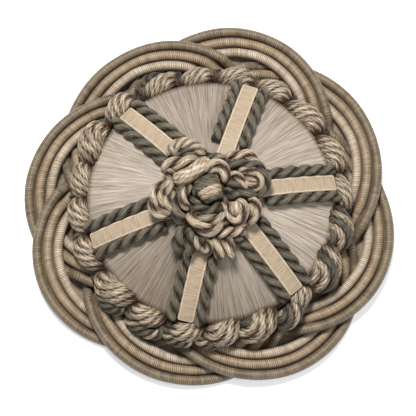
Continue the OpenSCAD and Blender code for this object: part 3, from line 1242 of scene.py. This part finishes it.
@dataclass(frozen=True)
class Ribs:
    """Six ribs over the dome: a flat strip with a twisted cord on each side."""

    dome: Dome = Dome()
    strip_w: float = 3.9 * MM
    strip_t: float = 1.1 * MM
    strip_step: float = 0.11 * MM
    # The lip along the strip's edges: how wide it is, how far it stands up as a share, and its tone, which
    # paints it pale as a highlight
    lip: float = 0.3 * MM
    lip_rise: float = 0.12
    lip_highlight: float = 0.6
    # At the strip's outer end: by what shares it narrows and sinks, and over what lengths
    narrowing: tuple[float, float] = (0.28, 0.9 * MM)
    sinking: tuple[float, float] = (0.55, 0.3 * MM)
    thread_h: float = 0.02 * MM
    # How much shade is painted between the strip's threads, and on its underside
    thread_deep: float = 0.3
    underside_deep: float = 0.9
    cord_d: float = 2.6 * MM
    cord_end: float = 0.8 * MM
    cord_step: float = 0.3 * MM
    cord_tones: tuple[float, float] = (0.0, 0.12)
    # The turn that the plies start at: how far it moves on from rib to rib, and from side to side
    cord_phase: tuple[float, float] = (0.9, 0.5)
    lay: Lay = Lay(turn=-2.55)
    plump: float = 1.12
    strip_from: float = 8.0 * MM
    strip_to: float = 29.4 * MM
    cord_from: float = 12.0 * MM
    cord_to: float = 29.5 * MM
    # Each rib's name, the angle it points to, and how far left of the axis it passes in millimetres
    rows: tuple[tuple[str, float, float], ...] = (
        ("a", 135.1, -0.9),
        ("b", 72.0, -0.4),
        ("c", 11.7, -1.7),
        ("d", -49.7, 1.2),
        ("e", -103.9, 1.2),
        ("f", -163.3, 1.5),
    )

    def line(self, turn: float, side: float, start: float, end: float, rise: float, step: float) -> Line:
        """A line that follows the dome outwards.

        Args:
            turn: the rib's angle.
            side: how far left of the axis it passes.
            start, end: distances from the axis.
            rise: its height over the dome.
            step: the distance between points.

        Returns:
            The line.
        """
        ball = math.sqrt(self.dome.ball**2 - side**2)
        low, high = math.asin(start / self.dome.ball), math.asin(end / self.dome.ball)
        angle = np.linspace(low, high, round((high - low) * ball / step) + 1)
        out = np.stack([np.sin(angle), 0 * angle, np.cos(angle)], axis=1)
        points = out * (ball + GAP + rise) + np.array([0.0, side, self.dome.top - self.dome.ball])
        return Line(points @ turned(turn).T + CENTRE, out @ turned(turn).T)

    def _section(self) -> Array:
        """Draws the strip's section, a bar with a fine raised lip along each edge.

        Returns:
            Height and breadth of each point, from the middle of its underside round by the left.
        """
        half, thick, lip = self.strip_w / 2, self.strip_t, self.lip
        side = [(0.0, half - 0.25 * MM), (0.3 * MM, half), (thick - 0.22 * MM, half),
                (thick, half - 0.2 * MM), (thick, half - lip),
                (thick - 0.1 * MM, half - lip - 0.16 * MM), (thick - 0.06 * MM, half / 2)]
        other_side = [(height, -width) for height, width in side[::-1]]
        return np.array([(0.0, 0.0)] + side + [(thick - 0.05 * MM, 0.0)] + other_side)

    def strip(self, turn: float, side: float) -> Skein:
        """The flat strip, wound across with fine thread and closed by a lip at its outer end.

        Args:
            turn: the rib's angle.
            side: how far left of the axis it passes.

        Returns:
            The strip.
        """
        line = self.line(turn, side, self.strip_from, self.strip_to, 0.0, self.strip_step)
        _, out, aside = line.frame()
        half, thick, lip = self.strip_w / 2, self.strip_t, self.lip
        tall, wide = self._section().T[:, None]
        left = line.run()[-1] - line.run()
        narrow, sink = (1.0 - share * (1 - rounded(left, length))
                        for share, length in (self.narrowing, self.sinking))
        rib = np.resize([0.0, 0.5, 1.0, 0.5], len(left))[:, None]
        face = tall > thick / 2
        lipped = (left < lip)[:, None] | (np.abs(wide) > half - lip - 0.01 * MM)
        height = np.where(face & lipped, thick * np.minimum(1.0, tall / thick + self.lip_rise), tall)
        height = height * sink[:, None] + self.thread_h * rib * face
        width = wide * narrow[:, None]
        rings = line.points[:, None] + height[..., None] * out[:, None] + width[..., None] * aside[:, None]
        deep = np.where(face, self.thread_deep * (1 - rib), self.underside_deep) + 0.0 * height
        # Painted highlight on the lip
        tone = np.where(face & lipped, self.lip_highlight, 0.0)
        skein = Skein()
        skein.rings(rings[:, ::-1], line.run() / MM, tone=tone[:, ::-1], deep=deep[:, ::-1])
        return skein

    def cord(self, turn: float, side: float, phase: float) -> Skein:
        """One two-ply cord, with rounded ends.

        Args:
            turn: the rib's angle.
            side: how far left of the axis the cord passes.
            phase: the turn that its plies start at.

        Returns:
            The cord.
        """
        line = self.line(turn, side, self.cord_from, self.cord_to, self.cord_d / 2, self.cord_step)
        skein = Skein()
        self.lay.wind(skein, line, self.cord_d * self.plump, self.cord_tones, phase,
                      ends=(self.cord_end, self.cord_end))
        return skein

    def build(self) -> None:
        """Makes all the strips and cords."""
        strip_material, cord_material = STRIP_GIMP.material(), OLIVE_CORD.material()
        off = (self.strip_w + self.cord_d) / 2 + GAP
        by_rib, by_side = self.cord_phase
        for k, (name, turn, miss) in enumerate(self.rows):
            side = miss * MM
            self.strip(turn, side).piece(f"rib_{name}_strip", Slot.STRIP, strip_material, f"strip_{name}")
            for label, way in (("left", 1), ("right", -1)):
                skein = self.cord(turn, side + way * off, by_rib * k + by_side * way)
                skein.piece(f"rib_{name}_{label}_cord", Slot.OLIVE, cord_material, f"twist_{name}_{label}")


@dataclass(frozen=True)
class Twine:
    """One cord through given places; lengths are in millimetres from the dome's axis."""

    thick: float
    tones: tuple[float, ...]
    height: float
    route: tuple[tuple[float, float], ...]
    turn: float = -2.7
    plies: int = 2
    sag: float = 0.9
    plump: float = 1.2

    def wind(self, skein: Skein, phase: float) -> None:
        """Adds the cord to a skein.

        Args:
            skein: what it is added to.
            phase: the turn that its strands start at.
        """
        thick = self.thick * self.plump * MM
        last = len(self.route) - 1
        drops = [self.sag * abs(2 * k / last - 1) ** 3 for k in range(last + 1)]
        places = tuple((x, y, self.height - drop) for (x, y), drop in zip(self.route, drops))
        lay, ends = Lay(self.plies, self.turn), (thick / 2, thick / 2)
        lay.wind(skein, route_line(places), thick, self.tones, phase, ends)


# How far the rope's circle lies off the dome's axis in millimetres, and how its humps and arches are laid
ROPE_OFF = (-0.3, -0.5)
HUMP_LAY = Lay(plies=6, turn=-2.1, fibre_turn=1.7)
ARCH_LAY = Lay(plies=3, turn=-2.2)
ARCH_D = 2.6 * MM
PALE = (0.0, 0.08, 0.0, 0.0, 0.12, 0.0)
MIXED = (0.9, 0.1, 0.85, 0.0, 0.9, 0.2)


@dataclass(frozen=True)
class Knot:
    """One hump of the trim rope, and the arch of cord that may show behind it."""

    turn: float
    half: float
    inner: float
    outer: float
    tones: tuple[float, ...] = PALE
    # How far the arch is turned, half its angle, how far out it reaches, and its tones
    arch: tuple[float, float, float, tuple[float, ...]] | None = None

    def _line(self, places: tuple[Place, ...], turn: float, half: float) -> Line:
        """A smooth line round the rim.

        Args:
            places: the share of the half angle, the radius and the height of each place, in millimetres.
            turn: the angle of its middle.
            half: half its angle.

        Returns:
            The line.
        """
        route = []
        for share, away, height in places:
            t = math.radians(turn + half * share)
            route.append((away * math.cos(t) + ROPE_OFF[0], away * math.sin(t) + ROPE_OFF[1], height))
        return route_line(tuple(route), step=0.3 * MM)

    def wind(self, skein: Skein, foot: float, phase: float) -> None:
        """Adds the hump, and the arch if there is one, to a skein.

        Args:
            skein: what they are added to.
            foot: the height that the hump stands at, in millimetres.
            phase: the turn that its strands start at.
        """
        thick = self.outer - self.inner
        middle, crown = (self.inner + self.outer) / 2, foot + 0.47 * thick
        hump = ((1.08, self.inner + 0.16 * thick, foot + 1.4), (0.6, middle - 0.16 * thick, crown - 0.4),
                (0.0, middle + 0.05 * thick, crown), (-0.5, middle + 0.06 * thick, crown - 0.3),
                (-0.95, self.inner + 0.26 * thick, foot + 1.6))
        line = self._line(hump, self.turn, self.half)
        length = float(line.run()[-1])
        HUMP_LAY.wind(skein, line, thick * MM, self.tones, phase, ends=(0.5 * length, 0.3 * length))
        if self.arch is not None:
            shift, half, reach, tones = self.arch
            bow = ((1.0, reach - 4.4, foot + 1.0), (0.7, reach - 1.8, foot + 1.6),
                   (0.1, reach - 1.1, foot + 1.9), (-0.6, reach - 1.8, foot + 1.6),
                   (-1.0, reach - 4.4, foot + 1.0))
            line = self._line(bow, self.turn + shift, half)
            ARCH_LAY.wind(skein, line, ARCH_D, tones, phase, ends=(MM, MM))


@dataclass(frozen=True)
class RopeTrim:
    """The rope of knots round the dome, from the upper left clockwise."""

    foot: float = 5.15
    knot_phase: float = 1.7
    # The cord between two knots: its thickness and height in millimetres, its tones, and how far
    # the turn that its plies start at moves on from one to the next
    binding_d: float = 1.9
    binding_z: float = 6.5
    binding_tones: tuple[float, float] = (1.0, 0.9)
    binding_phase: float = 0.7
    # Places of the cord between two knots, on the line half way between them
    passage: tuple[Place, ...] = ((29.9, 0.5, 0.0), (31.2, 0.2, 0.0), (32.4, -0.1, 0.0), (33.6, -0.3, 0.0))
    knots: tuple[Knot, ...] = (
        Knot(151.8, 9.4, 28.7, 35.0),
        Knot(132.6, 7.8, 29.7, 34.9),
        Knot(112.7, 8.2, 29.7, 34.2, arch=(1.0, 5.6, 35.6, (0.9, 1.0, 0.8))),
        Knot(96.0, 7.9, 29.7, 34.0),
        Knot(78.8, 8.8, 30.0, 34.6),
        Knot(61.8, 8.4, 29.9, 34.7),
        Knot(43.5, 10.4, 29.4, 34.6),
        Knot(23.6, 9.3, 29.4, 34.6),
        Knot(6.4, 8.8, 29.6, 34.0),
        Knot(-11.0, 9.2, 28.5, 34.6, MIXED),
        Knot(-30.0, 9.4, 28.4, 35.3, (0.1, 0.9, 0.05, 0.0, 0.95, 0.1)),
        Knot(-46.0, 6.6, 29.0, 33.4),
        Knot(-54.6, 6.2, 30.4, 35.6, (0.0, 0.9, 1.0, 0.0, 0.1, 0.9)),
        Knot(-68.5, 8.0, 28.6, 35.2, (0.0, 0.95, 1.0, 0.0, 0.0, 0.1)),
        Knot(-83.4, 6.9, 28.4, 34.4, arch=(-7.0, 5.4, 35.2, (0.9, 0.2, 0.7))),
        Knot(-99.6, 7.0, 29.0, 33.9, arch=(-3.6, 6.6, 35.4, (0.8, 0.1, 0.9))),
        Knot(-118.2, 7.6, 28.4, 33.4, arch=(0.4, 9.0, 35.8, (0.9, 0.1, 0.9))),
        Knot(-136.6, 10.0, 28.0, 34.0, arch=(1.4, 7.2, 35.6, (1.0, 0.9, 0.8))),
        Knot(-156.8, 8.4, 28.8, 34.0),
        Knot(-174.0, 8.8, 28.4, 33.6),
        Knot(-190.6, 9.0, 28.8, 33.6),
    )

    def binding(self) -> Skein:
        """Lays the olive cord that shows between the knots.

        Returns:
            A short length of it for each pair of knots.
        """
        skein = Skein()
        turns = [knot.turn for knot in self.knots]
        for k, (turn, following) in enumerate(zip(turns, turns[1:] + [turns[0] - 360.0])):
            way = turned((turn + following) / 2)
            route = tuple(tuple((way @ np.array(place))[:2].tolist()) for place in self.passage)
            twine = Twine(self.binding_d, self.binding_tones, self.binding_z, route)
            twine.wind(skein, self.binding_phase * k)
        return skein

    def build(self) -> None:
        """Makes the knots one by one."""
        material = TRIM_ROPE.material()
        self.binding().piece("rope_binding", Slot.ROPE, material)
        for k, knot in enumerate(self.knots):
            skein = Skein()
            knot.wind(skein, self.foot, self.knot_phase * k)
            skein.piece(f"rope_knot_{k + 1:02d}", Slot.ROPE, material, f"knot_{k + 1:02d}")


# The solid that each piece of the flower stands for, and its cords
LOOPS: tuple[tuple[str, tuple[Twine, ...]], ...] = (
    ("petal_1", (
        Twine(2.4, (0.0, 0.1, 0.0), 20.3, ((-9.7, 8.1), (-8.9, 10.1), (-6.8, 11.1), (-4.5, 10.9),
              (-2.7, 9.8), (-1.5, 8.3)), plies=3, turn=-2.2),
        Twine(2.0, (0.5, 0.9), 19.8, ((-8.9, 8.1), (-7.9, 9.3), (-6.1, 9.8), (-4.1, 9.3), (-3.0, 8.1))),
        Twine(1.9, (1.0, 0.9), 19.4, ((-10.2, 7.3), (-8.1, 8.2), (-5.8, 8.6), (-3.5, 8.1), (-1.1, 8.2))),
    )),
    ("petal_2", (
        Twine(3.0, (0.0, 0.06), 21.4, ((-11.5, 4.5), (-9.6, 5.4), (-7.1, 6.0), (-4.7, 6.2), (-3.1, 5.5)),
              turn=-2.6),
        Twine(3.1, (0.0,), 22.2, ((-8.8, 1.7), (-7.0, 2.1), (-5.0, 2.9), (-3.3, 4.2), (-1.6, 5.4),
              (0.1, 5.9)), plies=1, turn=-5.0),
        Twine(2.4, (0.1, 0.0), 21.0, ((-11.1, 4.0), (-9.6, 3.4), (-8.5, 2.0))),
    )),
    ("petal_3", (
        Twine(2.6, (0.0, 0.0), 22.5, ((-2.5, 4.2), (-0.5, 5.1), (1.7, 5.2), (3.0, 4.1), (3.4, 2.6),
              (3.0, 1.2)), turn=-3.6),
        Twine(1.9, (0.15, 0.0), 22.0, ((-1.3, 3.9), (0.5, 4.2), (1.7, 3.6), (2.3, 2.3))),
    )),
    ("petal_4", (
        Twine(2.4, (1.0, 0.9), 20.6, ((2.8, 6.1), (5.6, 5.8), (8.2, 5.4), (10.6, 5.5), (12.2, 4.0),
              (12.8, 1.9), (12.2, -0.4), (10.4, -1.4))),
        Twine(2.3, (0.0, 0.15), 20.2, ((3.3, 7.6), (5.8, 8.1), (8.2, 8.4), (10.1, 7.3), (11.4, 5.8))),
        Twine(2.0, (0.9, 0.6), 19.6, ((0.3, 8.0), (2.3, 7.6), (4.2, 7.0), (6.0, 7.0))),
    )),
    ("petal_5", (
        Twine(1.9, (0.0, 0.0), 21.2, ((6.5, 4.1), (8.8, 4.2), (10.8, 3.6), (11.7, 1.9), (10.9, 0.3),
              (9.1, 0.3), (7.8, 1.6)), turn=-5.0),
        Twine(1.8, (0.0, 0.1), 21.4, ((3.8, 3.6), (5.9, 3.1), (7.3, 1.5), (8.3, -0.4)), turn=-3.5),
        Twine(2.0, (0.35, 0.25), 20.8, ((7.0, 3.4), (9.0, 2.7), (10.6, 2.0)), turn=-4.0),
    )),
    ("petal_6", (
        Twine(2.5, (0.0, 0.05), 20.6, ((-8.6, 1.6), (-11.1, 0.9), (-13.1, -0.9), (-13.5, -3.3),
              (-12.7, -5.6), (-10.2, -6.9)), turn=-3.6),
        Twine(2.3, (0.1, 0.3), 21.0, ((-7.7, 1.2), (-10.0, -0.3), (-11.5, -2.4), (-11.5, -4.8),
              (-9.5, -6.4)), turn=-2.6),
        Twine(2.1, (0.2, 0.0), 21.3, ((-8.7, -0.8), (-9.8, -2.5), (-10.0, -4.5), (-9.1, -6.0)), turn=-3.0),
        Twine(2.7, (0.95, 0.8), 21.0, ((-5.5, 0.5), (-7.3, -1.3), (-8.1, -3.8), (-7.8, -6.5), (-5.9, -8.2)),
              turn=-3.0),
        Twine(1.9, (0.0, 0.2), 21.6, ((-4.9, 1.0), (-6.2, -1.5), (-6.4, -3.6), (-5.1, -5.2)), turn=-3.5),
    )),
    ("petal_7", (
        Twine(2.8, (0.0, 0.0), 21.4, ((-4.6, -5.8), (-4.0, -8.1), (-2.5, -9.6), (-0.5, -10.3), (1.3, -9.5),
              (2.5, -8.1)), turn=-4.0),
        Twine(2.5, (0.1, 0.45), 21.7, ((-3.3, -5.9), (-1.9, -7.2), (0.0, -7.8), (1.9, -7.4), (3.4, -6.7)),
              turn=-2.2),
        Twine(2.0, (1.0, 0.95), 22.2, ((-4.0, -4.7), (-2.5, -5.4), (-0.5, -5.8), (1.3, -5.2), (2.5, -3.9)),
              turn=-3.0),
    )),
    ("petal_8", (
        Twine(2.3, (0.0, 0.0), 22.0, ((4.2, -3.5), (4.4, -6.2), (5.3, -8.0), (6.6, -8.2), (7.6, -6.4),
              (7.4, -4.3), (6.1, -3.2)), turn=-5.0),
        Twine(2.7, (0.0,), 22.4, ((5.9, -3.7), (5.9, -5.4), (6.1, -6.9)), plies=1, turn=-4.0),
        Twine(1.8, (0.3, 0.1), 21.4, ((3.2, -3.3), (3.4, -5.2), (3.9, -7.0)), turn=-3.0),
    )),
    ("petal_9", (
        Twine(2.1, (0.0, 0.1), 20.8, ((8.8, -2.5), (10.1, -3.3), (10.8, -5.1), (10.3, -7.1), (8.5, -8.0)),
              turn=-4.0),
        Twine(2.0, (0.2, 0.1), 21.2, ((8.7, -3.9), (9.5, -5.2), (9.0, -6.8)), turn=-3.0),
    )),
    ("flower_tie", (
        Twine(2.2, (0.0, 0.0), 20.2, ((0.1, -10.8), (2.7, -10.7), (5.5, -10.3), (8.5, -9.5)), turn=-2.2),
        Twine(1.7, (0.1, 0.0), 20.4, ((4.9, -9.4), (6.7, -9.2), (8.5, -9.1)), turn=-3.0),
    )),
    ("flower_end_1", (
        Twine(2.4, (0.0, 0.0), 19.9, ((1.0, -11.3), (1.7, -13.9), (2.2, -16.7)), turn=-4.0),
        Twine(1.5, (0.0, 0.1), 19.9, ((-0.3, -10.8), (0.4, -12.5), (1.3, -14.5)), turn=-4.0),
    )),
    ("flower_end_2", (
        Twine(2.5, (0.0, 0.1), 19.7, ((3.3, -11.2), (4.4, -14.0), (4.9, -16.5)), turn=-4.0),
        Twine(1.7, (0.9, 1.0), 19.4, ((4.5, -11.3), (6.1, -11.5), (7.3, -11.7)), turn=-2.6),
    )),
    ("flower_end_3", (
        Twine(2.3, (0.3, 0.7), 19.6, ((-2.5, -10.3), (-2.8, -12.4), (-3.2, -14.3)), turn=-2.4),
        Twine(1.6, (0.4, 0.3), 19.4, ((-1.7, -10.7), (-0.4, -12.8), (-0.4, -14.8), (-1.4, -15.0),
              (-2.0, -13.4)), turn=-4.0),
    )),
)
# Olive cords that run down between the petals to the coil
ROOTS: tuple[Twine, ...] = (
    Twine(2.7, (1.0, 0.9), 19.4, ((-4.1, -8.6), (-5.9, -9.4), (-7.4, -10.9), (-7.8, -13.0), (-6.7, -14.7))),
    Twine(2.6, (0.95, 1.0), 19.2, ((-4.1, -9.8), (-5.0, -11.9), (-4.6, -14.2), (-5.7, -15.5))),
    Twine(2.5, (1.0, 0.9), 20.8, ((3.6, 2.7), (5.0, 1.2), (7.0, -0.2), (8.8, -1.5), (10.5, -2.4))),
    Twine(2.4, (1.0, 0.9), 20.2, ((3.1, 0.1), (4.7, -1.3), (6.6, -1.3), (8.2, -2.4))),
    Twine(2.2, (0.95, 0.6), 19.6, ((1.7, -9.5), (3.3, -8.5), (5.5, -8.9))),
)


@dataclass(frozen=True)
class Flower:
    """The flower of looped cord in the middle."""

    dome: Dome = Dome()
    boule_d: float = 6.6 * MM
    coil_r: float = 4.2 * MM
    coil_d: float = 2.8 * MM
    coil_lay: Lay = Lay(turn=-2.6, flutes=5)
    coil_tones: tuple[float, float] = (1.0, 0.9)
    coil_step: float = 0.3 * MM
    mat_from: float = 3.4 * MM
    mat_to: float = 10.2 * MM
    mat_d: float = 2.3 * MM
    mat_turns: float = 3.0
    mat_tones: tuple[float, float] = (1.0, 0.85)
    mat_steps: int = 360
    root_phase: float = 1.1
    loop_phase: float = 0.8
    twine_phase: float = 1.3
    ball_off: tuple[float, float] = (-0.6 * MM, -0.2 * MM)
    ball_wide: float = 1.12
    ball_turn: float = 24.0
    # The plies run a little past half a turn, and those at the sides are shorter
    ball_past: float = 0.1
    ball_steps: int = 44
    ball_bow: float = 0.8
    core_share: float = 0.74
    core_sides: int = 20
    core_tone: float = 0.9
    ball_lay: Lay = Lay(plies=1, turn=7.0, fibre_turn=4.0)
    # Each ply of the ball: how far over the middle it lies in ball radii, how thick it is in
    # millimetres, its tone, and how long its pointed ends are in millimetres
    ball_plies: tuple[tuple[float, float, float, float], ...] = (
        (0.72, 2.2, 1.0, 1.6), (0.2, 2.5, 0.88, 1.6), (-0.3, 2.3, 0.0, 2.6),
        (-0.64, 2.2, 0.06, 2.4), (-0.98, 1.7, 0.95, 1.2))

    def build(self) -> None:
        """Makes the ball, the coil with the cords at its root, and each loop and end."""
        material = FLOWER_CORD.material()
        self._boule().piece("flower_ball", Slot.FLOWER, material, "flower_boule")
        coil = Skein()
        self.coil_lay.wind(coil, self._coil(), self.coil_d, self.coil_tones)
        self.coil_lay.wind(coil, self._mat(), self.mat_d, self.mat_tones)
        for k, twine in enumerate(ROOTS):
            twine.wind(coil, self.root_phase * k)
        coil.piece("flower_root_coil", Slot.FLOWER, material, "flower_coil")
        for k, (node, twines) in enumerate(LOOPS):
            skein = Skein()
            for number, twine in enumerate(twines):
                twine.wind(skein, self.loop_phase * k + self.twine_phase * number)
            skein.piece(f"{node}_cord", Slot.FLOWER, material, node)

    def _coil(self) -> Line:
        """Draws the circle, which all but closes, of the cord that the ball sits on.

        Returns:
            Its line.
        """
        angle = np.linspace(-math.pi, math.pi, round(TAU * self.coil_r / self.coil_step))
        points = self.coil_r * np.stack([np.cos(angle), np.sin(angle), 0 * angle], axis=1)
        height = float(self.dome.height(self.coil_r)) + GAP + self.coil_d / 2
        return Line.level(points + np.array([0.0, 0.0, height]) + CENTRE)

    def _mat(self) -> Line:
        """Draws the cord coiled flat on the dome under the petals.

        Returns:
            Its line.
        """
        share = np.linspace(0.0, 1.0, self.mat_steps)
        away = self.mat_from + (self.mat_to - self.mat_from) * share
        turn = TAU * self.mat_turns * share
        height = self.dome.height(away) + self.mat_d / 2
        return Line.level(np.stack([away * np.cos(turn), away * np.sin(turn), height], axis=1) + CENTRE)

    def _boule(self) -> Skein:
        """Winds the ball from fat plies: olive above, with a beige lens below.

        Returns:
            The ball.
        """
        radius = self.boule_d / 2
        core = self.core_share * radius
        rise = np.linspace(self.ball_past, math.pi - self.ball_past, self.core_sides // 2)
        middle = CENTRE + np.array([*self.ball_off, self.dome.top + GAP + radius])
        skein = Skein()
        skein.yarn(Line(middle + core * np.outer(-np.cos(rise), UP), np.tile(ACROSS, (len(rise), 1))),
                   core * np.sin(rise), self.core_sides, self.core_tone)
        way = turned(self.ball_turn)
        angle = np.linspace(-self.ball_past, math.pi + self.ball_past, self.ball_steps)
        for lift, thick, tone, point in self.ball_plies:
            ply = thick * MM
            off = radius - ply / 2
            reach = off * math.sqrt(1 - (self.ball_bow * lift) ** 2)
            points = np.stack([self.ball_wide * reach * np.cos(angle),
                               0 * angle + self.ball_wide * lift * off,
                               reach * np.sin(angle)], axis=1) @ way.T
            line = Line(points + middle, unit(points))
            self.ball_lay.wind(skein, line, ply, (tone,), ends=(point * MM, point * MM))
        return skein


@dataclass(frozen=True)
class Studio:
    """The camera, the lights and the board that the rosette lies on."""

    elevation: float = 75.7
    aim: Place = (-0.24 * MM, -1.19 * MM, 2.6 * MM)
    distance: float = 0.7
    lens: float = 252.4
    floor: float = 1.6
    floor_drop: float = 0.05 * MM
    # Each light's name, place, side and watts
    lights: tuple[tuple[str, Place, float, float], ...] = (
        ("key", (-0.07, 0.21, 0.66), 0.16, 6.3),
        ("fill", (0.4, -0.3, 0.6), 0.5, 1.5),
    )
    room_light: float = 0.28

    def camera(self) -> None:
        """Sets the camera at the photograph's angle."""
        e = math.radians(self.elevation)
        back = Vector((0.0, -math.cos(e), math.sin(e)))
        data = bpy.data.cameras.new("camera")
        data.lens = self.lens
        data.clip_start, data.clip_end = 0.01, 10.0
        made = linked("camera", data)
        made.location = Vector(self.aim) + back * self.distance
        made.rotation_euler = (-back).to_track_quat("-Z", "Y").to_euler()
        bpy.context.scene.camera = made

    def _light(self, name: str, place: Place, size: float, power: float) -> None:
        """A soft square light that faces the rosette.

        Args:
            name: its name.
            place: where it hangs.
            size: the side of its square.
            power: its watts.
        """
        data = bpy.data.lights.new(name, "AREA")
        data.size = size
        data.energy = power
        made = linked(name, data)
        made.location = place
        made.rotation_euler = (-Vector(place)).to_track_quat("-Z", "Y").to_euler()

    def build(self) -> None:
        """Lights the board and lays it."""
        bpy.context.scene.view_settings.view_transform = "Standard"
        for light in self.lights:
            self._light(*light)
        world = bpy.data.worlds.new("room")
        world.use_nodes = True
        background = world.node_tree.nodes["Background"]
        background.inputs[0].default_value = (1.0, 1.0, 1.0, 1.0)
        background.inputs[1].default_value = self.room_light
        bpy.context.scene.world = world
        select_nothing()
        bpy.ops.mesh.primitive_plane_add(size=self.floor, location=(0.0, 0.0, -self.floor_drop))
        board = just_made("board")
        apply_place()
        board.data.materials.append(PALE_BOARD.material())


def main() -> None:
    """Builds the rosette from the ring inwards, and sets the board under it."""
    logging.basicConfig(level=logging.INFO, format="%(name)s %(message)s")
    studio = Studio()
    studio.camera()
    for part in (GimpRing(), Backing(), SilkDome(), Ribs(), RopeTrim(), Flower(), studio):
        part.build()
        LOG.info("%s is built", type(part).__name__)


if __name__ == "__main__":
    main()
